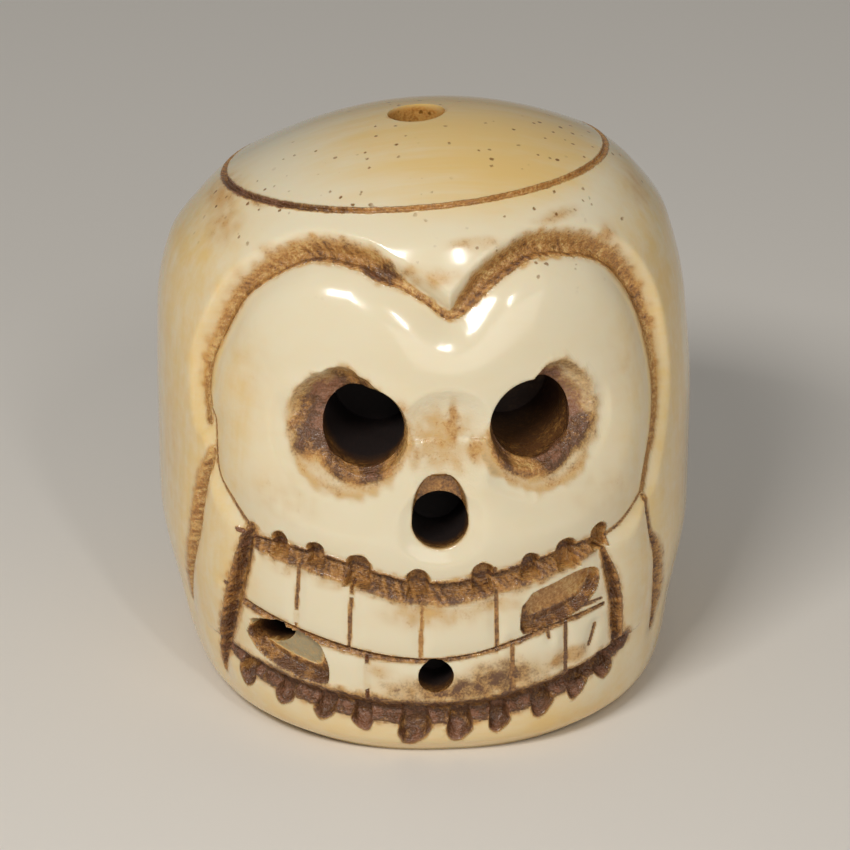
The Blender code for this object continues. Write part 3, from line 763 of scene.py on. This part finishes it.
def hole_cutter(name, start, inwards, radius, depth, stretch=1.0):
    """A drill for one hole, from outside the skin to its depth, in short lengths."""
    lengths = math.ceil((depth + DRILL_START) / DRILL_STEP)
    pick()
    bpy.ops.mesh.primitive_circle_add(vertices=DRILL_SIDES, radius=radius, fill_type="NGON")
    cutter = bpy.context.object
    cutter.name = name
    bpy.ops.object.mode_set(mode="EDIT")
    bpy.ops.transform.resize(value=(stretch, 1, 1))
    bpy.ops.transform.rotate(value=STRETCH_TURN, orient_axis="Z")
    for _ in range(lengths):
        bpy.ops.mesh.extrude_region_move(
            TRANSFORM_OT_translate={"value": (0, 0, (depth + DRILL_START) / lengths)})
    bpy.ops.mesh.select_all(action="SELECT")
    bpy.ops.mesh.normals_make_consistent(inside=False)
    bpy.ops.object.mode_set(mode="OBJECT")
    cutter.matrix_world = (Matrix.Translation(Vector(start) - Vector(inwards) * DRILL_START)
                           @ Vector(inwards).to_track_quat("Z", "Y").to_matrix().to_4x4())
    return cutter


def drill_holes(obj, size):
    """The cord hole, the eyes, the nose and the two small holes in the lower teeth."""
    axis_y = (size.front_reach - size.back_reach) / 2
    top = (-0.45 * MM, axis_y - 0.3 * MM, size.rim_height + size.cap_rise)
    cutters = [hole_cutter("cord_hole", top, (0, 0, -1), size.cord_radius, top[2] + 2 * MM)]
    for side, angle, raised, *_ in EYES:
        place, _ = skin_at(size, angle, size.eye_level + raised)
        inwards = (-math.sin(size.eye_lean * side), math.cos(size.eye_lean * side), 0)
        cutters.append(
            hole_cutter("eye_hole", place, inwards, size.eye_radius, size.eye_hole_depth))
    place, out = skin_at(size, size.nose_angle, size.nose_level)
    cutters.append(hole_cutter("nose_hole", place, -out, size.nose_radius, NOSE_HOLE_DEPTH))
    for angle, share, radius, stretch in TOOTH_HOLES:
        place, out = skin_at(size, angle, share)
        cutters.append(hole_cutter("tooth_hole", place, -out, radius, TOOTH_HOLE_DEPTH, stretch))
    pick(*cutters)
    bpy.ops.object.join()
    drills = bpy.context.object
    pick(obj)
    cut = obj.modifiers.new("holes", "BOOLEAN")
    cut.operation = "DIFFERENCE"
    cut.solver = "EXACT"
    cut.object = drills
    bpy.ops.object.modifier_apply(modifier="holes")
    bpy.data.objects.remove(drills, do_unlink=True)


def paint(obj, skin):
    """Give the finished mesh its stain, tone, tool marks and painted shade in the holes as
    attributes.
    """
    tree = kdtree.KDTree(len(skin.carved))
    for i, point in enumerate(skin.carved.tolist()):
        tree.insert(point, i)
    tree.balance()
    places = vertex_places(obj.data)
    found = [tree.find(place) for place in places.tolist()]
    index = np.array([hit[1] for hit in found])
    away = np.array([hit[2] for hit in found])
    hole = ease(away / (0.35 * MM))
    high = places[:, 2] > CORD_HOLE_ABOVE
    lit = high | ((places[:, 0] > RIGHT_EYE_BEYOND) & (places[:, 2] > RIGHT_EYE_ABOVE))
    values = {
        "stain": np.maximum(skin.stain[index], np.where(high, 0.55, 0.97) * hole),
        "tone": skin.tone[index] * (1 - hole) + np.where(high, 0.1, 0.75) * hole,
        "tooled": skin.tooled[index] * (1 - hole) + 0.15 * hole,
        # Painted shade: how far the colour goes to near black deep inside the holes
        "painted_hole_shade": ease(away / np.where(lit, PAINTED_SHADE_REACH_LIT, PAINTED_SHADE_REACH_DARK)),
    }
    for name, value in values.items():
        attribute = obj.data.attributes.new(name, "FLOAT", "POINT")
        attribute.data.foreach_set("value", value.astype(np.float32))


class NodeBoard:
    """Short way to add shader nodes and join them."""

    def __init__(self, tree):
        self.tree = tree

    def feed(self, socket, value):
        """Join another node's output to a socket, or set the socket to a plain value."""
        if isinstance(value, bpy.types.NodeSocket):
            self.tree.links.new(value, socket)
        else:
            socket.default_value = value

    def add(self, kind, settings=(), numbered=(), **named):
        """Add a node, then set its properties and its numbered and named inputs."""
        node = self.tree.nodes.new(kind)
        for name, value in dict(settings).items():
            setattr(node, name, value)
        for number, value in enumerate(numbered):
            self.feed(node.inputs[number], value)
        for name, value in named.items():
            self.feed(node.inputs[name.replace("_", " ")], value)
        return node

    def value(self, name):
        """A mask that the mesh carries."""
        return self.add("ShaderNodeAttribute", {"attribute_name": name}).outputs["Fac"]

    def math(self, operation, *values):
        """A Math node's output."""
        return self.add("ShaderNodeMath", {"operation": operation}, values).outputs[0]

    def plus(self, first, second):
        """The sum of two values."""
        return self.math("ADD", first, second)

    def times(self, first, second):
        """The product of two values."""
        return self.math("MULTIPLY", first, second)

    def scaled(self, value, factor, offset):
        """A value times a factor, plus an offset."""
        return self.math("MULTIPLY_ADD", value, factor, offset)

    def mix(self, factor, first, second, blend="MIX"):
        """Mix two colours."""
        node = self.add("ShaderNodeMix", {"data_type": "RGBA", "blend_type": blend})
        for number, value in zip((0, 6, 7), (factor, first, second)):
            self.feed(node.inputs[number], value)
        return node.outputs[2]

    def mapped(self, place, **settings):
        """A place stretched or turned."""
        return self.add("ShaderNodeMapping", Vector=place, **settings).outputs[0]

    def noise(self, place, scale, detail):
        """An uneven value round a half."""
        return self.add("ShaderNodeTexNoise", Vector=place, Scale=scale, Detail=detail,
                        Roughness=0.62).outputs[0]

    def ramp(self, factor, low, high):
        """A smooth step of a value between two limits."""
        node = self.add("ShaderNodeMapRange", {"interpolation_type": "SMOOTHSTEP"},
                        Value=factor, From_Min=low, From_Max=high)
        return node.outputs[0]


def aged_ivory(board, finish, place, cloud):
    """Cream ivory, yellowed on the cap, the sides and the lower edge, with faint streaks. On the
    sides and the lower edge the yellow is partly painted shade.
    """
    x, y, z = board.add("ShaderNodeSeparateXYZ", Vector=place).outputs
    grain = board.noise(board.mapped(place, Scale=(60.0, 800.0, 800.0)), 1.0, 4.0)
    fibre = board.noise(board.mapped(place, Scale=(700.0, 700.0, 70.0)), 1.0, 3.0)
    rightwards = board.ramp(board.plus(x, board.times(y, 0.35)), -14 * MM, 3 * MM)
    cap = board.times(board.ramp(z, 31.2 * MM, 33.4 * MM), rightwards)
    # The sides and the foot yellower: partly the ivory's own yellowing, partly painted shade where
    # they turn away from the lamps
    sides = board.ramp(board.math("ABSOLUTE", x), 8 * MM, 15 * MM)
    sides = board.times(sides, board.scaled(fibre, 1.3, 0.10))
    foot = board.times(board.ramp(z, 6 * MM, 0.0), 0.75)
    yellow = board.math("MAXIMUM", board.math("MAXIMUM", cap, sides), foot)
    yellow = board.plus(yellow, board.scaled(cloud, 0.5, -0.25))
    streaks = board.times(board.scaled(grain, 1.3, -0.65), board.scaled(yellow, 0.8, 0.25))
    yellow = board.plus(yellow, streaks)
    return board.mix(board.ramp(yellow, -0.2, 1.15), (*finish.ivory, 1), (*finish.patina_and_shade, 1))


def stained(board, finish, ivory, uneven):
    """The ivory with brown stain, as much and as dark as the mesh says."""
    stain, tone = board.value("stain"), board.value("tone")
    shade = board.plus(tone, board.times(uneven, 0.8))
    brown = (*finish.pale_stain_and_shade, 1)
    for value, low, high, darker in ((shade, -0.15, 0.25, finish.stain_light),
                                     (shade, 0.15, 0.85, finish.stain_dark),
                                     (shade, 0.85, 1.20, finish.stain_purple),
                                     (tone, -0.1, -0.9, finish.stain_grey)):
        brown = board.mix(board.ramp(value, low, high), brown, (*darker, 1))
    # A little stain only tints the ivory pale brown; the faint wide patches of painted shade show
    # as this tint.
    halo = board.times(board.ramp(stain, 0.0, 0.6), 0.9)
    colour = board.mix(halo, ivory, (*finish.pale_stain_and_shade, 1), "MULTIPLY")
    amount = board.plus(stain, board.times(uneven, 0.55))
    amount = board.times(board.ramp(amount, 0.20, 0.85), board.ramp(stain, 0.05, 0.35))
    return board.mix(board.times(amount, 0.95), colour, brown)


def pore_specks(board, place, cloud, fine):
    """Scattered dark pores on the cap and shoulders."""
    height = board.add("ShaderNodeSeparateXYZ", Vector=place).outputs[2]
    cells = board.add("ShaderNodeTexVoronoi", {"feature": "F1"}, Vector=place, Scale=1700.0,
                      Randomness=1.0)
    draw = board.add("ShaderNodeSeparateColor", Color=cells.outputs["Color"]).outputs[0]
    away = board.plus(cells.outputs["Distance"], board.scaled(fine, 0.7, -0.35))
    dot = board.times(board.ramp(away, 0.26, 0.10), board.ramp(draw, 0.66, 0.70))
    upper = board.times(board.ramp(height, 27 * MM, 30 * MM), board.ramp(cloud, 0.46, 0.56))
    return board.times(dot, upper)


def worn_surface(board, place, fine, dirt, speck):
    """Tool marks in the cuts and pits at the pores, as a normal."""
    tooled = board.value("tooled")
    turned = board.mapped(place, Rotation=(0.4, 0.9, 0.3), Scale=(1500.0, 6500.0, 2600.0))
    strokes = board.plus(board.noise(turned, 1.0, 3.0), board.times(fine, 0.8))
    worn = board.times(strokes, tooled)
    worn = board.plus(worn, board.times(board.times(dirt, 0.7), tooled))
    worn = board.math("SUBTRACT", worn, board.times(speck, 0.12))
    return board.add("ShaderNodeBump", Strength=0.8, Distance=0.18 * MM, Height=worn).outputs[0]


def ivory_material(finish):
    """Polished ivory: cream and yellow, stained in the cuts, with pores, tool marks and painted
    shade in the holes.
    """
    material = bpy.data.materials.new("polished_ivory")
    material.use_nodes = True
    board = NodeBoard(material.node_tree)
    inputs = material.node_tree.nodes["Principled BSDF"].inputs
    place = board.add("ShaderNodeTexCoord").outputs["Object"]
    tooled, painted_hole_shade = board.value("tooled"), board.value("painted_hole_shade")
    cloud, blotch = board.noise(place, 170.0, 3.0), board.noise(place, 700.0, 5.0)
    fine, dirt = board.noise(place, 2600.0, 4.0), board.noise(place, 6500.0, 2.0)
    uneven = board.plus(board.scaled(blotch, 1.1, -0.55), board.scaled(fine, 1.1, -0.55))
    uneven = board.plus(uneven, board.scaled(dirt, 1.2, -0.6))

    speck = pore_specks(board, place, cloud, fine)
    colour = stained(board, finish, aged_ivory(board, finish, place, cloud), uneven)
    colour = board.mix(board.times(speck, 0.95), colour, (*finish.pore, 1))
    # Painted shade: the colour goes to near black deep inside the holes
    board.feed(inputs["Base Color"], board.mix(painted_hole_shade, colour, (*finish.painted_hole_shade, 1)))

    rough = board.plus(board.scaled(tooled, 0.18, finish.polish),
                       board.scaled(blotch, 0.08, -0.04))
    board.feed(inputs["Roughness"], board.plus(rough, board.times(painted_hole_shade, 0.5)))
    board.feed(inputs["Normal"], worn_surface(board, place, fine, dirt, speck))
    coat = board.times(board.math("SUBTRACT", 1.0, painted_hole_shade), board.scaled(tooled, -0.40, 0.50))
    board.feed(inputs["Coat Weight"], coat)
    inputs["Coat Roughness"].default_value = 0.09
    inputs["IOR"].default_value = 1.54
    inputs["Subsurface Weight"].default_value = 0.25
    inputs["Subsurface Radius"].default_value = (1.0, 0.55, 0.3)
    inputs["Subsurface Scale"].default_value = 0.9 * MM
    return material


def plain_material(name, colour, roughness):
    """Plain matte surface for the floor."""
    material = bpy.data.materials.new(name)
    material.use_nodes = True
    shader = material.node_tree.nodes["Principled BSDF"]
    shader.inputs["Base Color"].default_value = (*colour, 1)
    shader.inputs["Roughness"].default_value = roughness
    return material


def length(name, description, default):
    """A length property, in metres."""
    return FloatProperty(name=name, description=description, default=default, unit="LENGTH",
                         precision=5)


def tint(name, description, default):
    """A colour property."""
    return FloatVectorProperty(name=name, description=description, default=default,
                               subtype="COLOR", size=3, min=0.0, max=1.0)


# Lights: name, place, width, height, watts and colour
LIGHTS = (
    ("key", (-0.105, -0.175, 0.215), 0.11, 0.05, 0.45, (1.0, 0.98, 0.95)),
    ("window", (0.05, -0.20, 0.20), 0.014, 0.045, 0.07, (1.0, 0.99, 0.97)),
    ("fill", (0.12, -0.34, 0.16), 0.30, 0.16, 0.19, (1.0, 0.97, 0.93)),
)
LIGHT_AIM = (0, 0, 0.018)
WORLD_COLOUR, WORLD_STRENGTH = (0.93, 0.92, 0.90, 1), 0.24
FLOOR_SIZE, FLOOR_DROP = 1.6, 0.02 * MM

# The camera, at the photograph's angle: where it aims, from how far and through which lens
CAMERA_AZIMUTH, CAMERA_ELEVATION = math.radians(-4.0), math.radians(26.6)
CAMERA_AIM = (0.0, -0.3 * MM, 14.15 * MM)
CAMERA_DISTANCE = 0.300
CAMERA_LENS = 209.6


class SkullSizes(bpy.types.PropertyGroup):
    """Sizes of the skull and its carving."""

    width: length("Width", "Across the cheekbones", 32.2 * MM)
    front_reach: length("Front reach", "Upright axis to the teeth", 17.3 * MM)
    back_reach: length("Back reach", "Upright axis to the back of the head", 15.1 * MM)
    rim_height: length("Rim height", "Underside to the middle of the cap's rim", 31.2 * MM)
    cap_rise: length("Cap rise", "Rim to the top of the cap", 3.1 * MM)
    cap_slope_back: FloatProperty(name="Slope back", description="Fall of the rim to the back",
                                  default=math.radians(6.8), subtype="ANGLE")
    cap_slope_side: FloatProperty(name="Slope side", description="Rise of the rim to the right",
                                  default=math.radians(3.8), subtype="ANGLE")
    rim_groove_width: length("Rim groove width", "Groove round the cap", 0.42 * MM)
    rim_groove_depth: length("Rim groove depth", "Groove round the cap", 0.35 * MM)
    cord_radius: length("Cord hole radius", "Hole from the cap to the underside", 1.7 * MM)
    eye_level: FloatProperty(name="Eye level", description="Height share of the holes",
                             default=0.655)
    eye_radius: length("Eye hole radius", "Drilled part of each eye", 2.4 * MM)
    eye_hole_depth: length("Eye hole depth", "Drilled part of each eye", 7.0 * MM)
    bowl_radius: length("Bowl radius", "Half height of each eye's bowl", 3.9 * MM)
    eye_ridge: length("Eye ridge", "Step at the lower edge of each eye's hollow", 0.55 * MM)
    eye_lean: FloatProperty(name="Eye lean", description="Lean of the holes to each other",
                            default=math.radians(10), subtype="ANGLE")
    bowl_depth: length("Bowl depth", "Carved bowl of each eye", 1.5 * MM)
    nose_angle: FloatProperty(name="Nose angle", description="Degrees from the middle",
                              default=-0.5)
    nose_level: FloatProperty(name="Nose level", description="Height share of the hole",
                              default=0.488)
    nose_radius: length("Nose hole radius", "Drilled part of the nose", 1.65 * MM)
    heart_width: length("Heart groove width", "Groove round the face", 1.3 * MM)
    heart_depth: length("Heart groove depth", "Groove round the face", 1.2 * MM)
    face_rounding: length("Face rounding", "How far in the face's edge is rounded", 4.4 * MM)
    face_drop: length("Face drop", "How far the face's edge falls", 1.25 * MM)
    upper_gum_width: length("Upper gum width", "Sunken band over the teeth", 1.35 * MM)
    lower_gum_width: length("Lower gum width", "Sunken band under the teeth", 1.7 * MM)
    gum_depth: length("Gum depth", "Both sunken bands", 0.8 * MM)
    mouth_width: length("Mouth line width", "Line between the rows of teeth", 0.38 * MM)
    mouth_depth: length("Mouth line depth", "Line between the rows of teeth", 0.4 * MM)
    notch_radius: length("Notch radius", "Notches beside the gums", 0.62 * MM)
    notch_depth: length("Notch depth", "Notches beside the gums", 1.1 * MM)
    window_depth: length("Window depth", "Missing teeth", 0.9 * MM)
    jaw_cut_width: length("Jaw cut width", "Deep cuts on the jaw", 1.4 * MM)
    jaw_cut_depth: length("Jaw cut depth", "Deep cuts on the jaw", 0.9 * MM)


class SkullFinish(bpy.types.PropertyGroup):
    """Colours and polish of the ivory and the floor."""

    ivory: tint("Ivory", "Clean polished ivory", (0.78, 0.695, 0.50))
    # Yellowed ivory; on the sides and at the foot partly painted shade
    patina_and_shade: tint("Patina", "Yellowed ivory", (0.77, 0.53, 0.195))
    # Also the tint of the faint wide patches of painted shade
    pale_stain_and_shade: tint("Pale stain", "Stain that only tints the ivory", (0.72, 0.46, 0.17))
    stain_light: tint("Light stain", "Thin brown stain", (0.47, 0.22, 0.055))
    stain_dark: tint("Dark stain", "Thick brown stain", (0.100, 0.036, 0.012))
    stain_purple: tint("Purple stain", "Old purplish stain", (0.24, 0.100, 0.050))
    stain_grey: tint("Grey stain", "Dull floor of the missing teeth", (0.36, 0.30, 0.17))
    pore: tint("Pore", "Dirt in the pores", (0.22, 0.095, 0.015))
    # Painted shade: near black deep inside the holes
    painted_hole_shade: tint("Gloom", "Deep inside of the holes", (0.010, 0.0035, 0.002))
    polish: FloatProperty(name="Polish", description="Roughness of the polished skin",
                          default=0.17, min=0.0, max=1.0)
    floor: tint("Floor", "Pale floor", (0.78, 0.74, 0.68))


class SKULL_OT_carve(bpy.types.Operator):
    """Model and finish the carved skull."""

    bl_idname = "skull.carve"
    bl_label = "Carve skull"

    def execute(self, context):
        """Shape, carve, drill and stain the skull."""
        size = context.scene.skull_sizes
        pick()
        rings = len(ring_places(size)[0])
        bpy.ops.mesh.primitive_uv_sphere_add(segments=COLUMNS, ring_count=rings + 1, radius=1.0)
        obj = context.object
        obj.name = "carved_skull"
        skin = shape_body(obj, size)
        drill_holes(obj, size)
        paint(obj, skin)
        obj.data.materials.clear()
        obj.data.materials.append(ivory_material(context.scene.skull_finish))
        pick(obj)
        bpy.ops.object.shade_smooth_by_angle(angle=math.radians(70))
        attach(obj, "root")
        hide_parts(NODE)
        return {"FINISHED"}


class SKULL_OT_stage(bpy.types.Operator):
    """Set the floor, the lights and the camera."""

    bl_idname = "skull.stage"
    bl_label = "Set the stage"

    def execute(self, context):
        """Lay the floor, hang the lights and aim the camera."""
        pick()
        bpy.ops.mesh.primitive_plane_add(size=FLOOR_SIZE, location=(0, 0, -FLOOR_DROP))
        floor = context.object
        floor.name = "floor"
        colour = context.scene.skull_finish.floor
        floor.data.materials.append(plain_material("pale_floor", colour, 0.6))
        for light in LIGHTS:
            add_light(*light)
        world = bpy.data.worlds.new("studio")
        context.scene.world = world
        world.use_nodes = True
        background = world.node_tree.nodes["Background"].inputs
        background["Color"].default_value = WORLD_COLOUR
        background["Strength"].default_value = WORLD_STRENGTH
        context.scene.view_settings.view_transform = "Standard"
        aim_camera(context)
        return {"FINISHED"}


def add_light(name, place, width, height, watts, colour):
    """A soft rectangular light aimed at the skull."""
    light = bpy.data.lights.new(name, "AREA")
    light.shape = "RECTANGLE"
    light.size, light.size_y = width, height
    light.energy = watts
    light.color = colour
    obj = bpy.data.objects.new(name, light)
    bpy.context.scene.collection.objects.link(obj)
    obj.location = place
    towards = Vector(LIGHT_AIM) - obj.location
    obj.rotation_euler = towards.to_track_quat("-Z", "Y").to_euler()


def aim_camera(context):
    """Camera at the photograph's angle: a little from the left, looking down."""
    level = math.cos(CAMERA_ELEVATION)
    back = Vector((math.sin(CAMERA_AZIMUTH) * level, -math.cos(CAMERA_AZIMUTH) * level,
                   math.sin(CAMERA_ELEVATION)))
    data = bpy.data.cameras.new("camera")
    data.sensor_width = 36.0
    data.lens = CAMERA_LENS
    data.clip_start = 0.01
    camera = bpy.data.objects.new("camera", data)
    context.scene.collection.objects.link(camera)
    camera.location = Vector(CAMERA_AIM) + back * CAMERA_DISTANCE
    camera.rotation_euler = (-back).to_track_quat("-Z", "Y").to_euler()
    context.scene.camera = camera


class SKULL_PT_panel(bpy.types.Panel):
    """Sizes, colours and steps of the skull."""

    bl_idname = "SKULL_PT_panel"
    bl_label = "Ivory skull"
    bl_space_type = "VIEW_3D"
    bl_region_type = "UI"
    bl_category = "Skull"

    def draw(self, context):
        """List the steps and every value."""
        for operator in (SKULL_OT_carve, SKULL_OT_stage):
            self.layout.operator(operator.bl_idname)
        for group in (context.scene.skull_sizes, context.scene.skull_finish):
            for name in group.bl_rna.properties.keys():
                if name not in {"rna_type", "name"}:
                    self.layout.prop(group, name)


CLASSES = (SkullSizes, SkullFinish, SKULL_OT_carve, SKULL_OT_stage, SKULL_PT_panel)


def register():
    """Register the classes and hang the settings on the scene."""
    for cls in CLASSES:
        bpy.utils.register_class(cls)
    bpy.types.Scene.skull_sizes = PointerProperty(type=SkullSizes)
    bpy.types.Scene.skull_finish = PointerProperty(type=SkullFinish)


def unregister():
    """Undo register."""
    del bpy.types.Scene.skull_finish
    del bpy.types.Scene.skull_sizes
    for cls in reversed(CLASSES):
        bpy.utils.unregister_class(cls)


def main():
    """Build the skull and its stage."""
    register()
    bpy.ops.skull.carve()
    bpy.ops.skull.stage()


if __name__ == "__main__":
    main()
